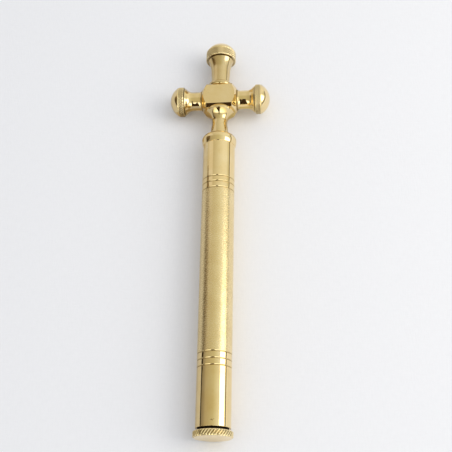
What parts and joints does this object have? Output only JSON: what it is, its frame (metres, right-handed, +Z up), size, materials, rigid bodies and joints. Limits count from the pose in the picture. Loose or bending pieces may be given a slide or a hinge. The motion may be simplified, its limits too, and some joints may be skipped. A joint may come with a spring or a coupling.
{
  "type": "holy water sprinkler stick",
  "caption": "Hollow brass hand sprinkler for blessing with holy water: a slim tube handle with a knurled screw cap, under a small cross of turned arms with domed caps.",
  "frame": {"origin": "on the surface it lies on, under the middle of the whole stick's box", "axes": "+Y along the stick from the base cap to the cross, +X towards the right arm, +Z up"},
  "size_m": [0.0516, 0.2066, 0.0179],
  "materials": {
    "polished_brass": "mirror polished, clear reflections",
    "satin_brass": "polished at both ends, satin scratch-brushed between the two bands of ring grooves",
    "knurled_brass": "knurled grip with bright, slightly worn crests"
  },
  "bodies": {
    "root": {"handle_tube": "satin_brass", "base_cap": "knurled_brass", "shoulder_cap": "polished_brass", "neck": "polished_brass", "cross_block": "polished_brass", "left_arm": "polished_brass", "right_arm": "polished_brass", "top_arm": "polished_brass", "left_arm_cap": "knurled_brass", "right_arm_cap": "knurled_brass", "top_arm_cap": "knurled_brass"}
  },
  "joints": []
}
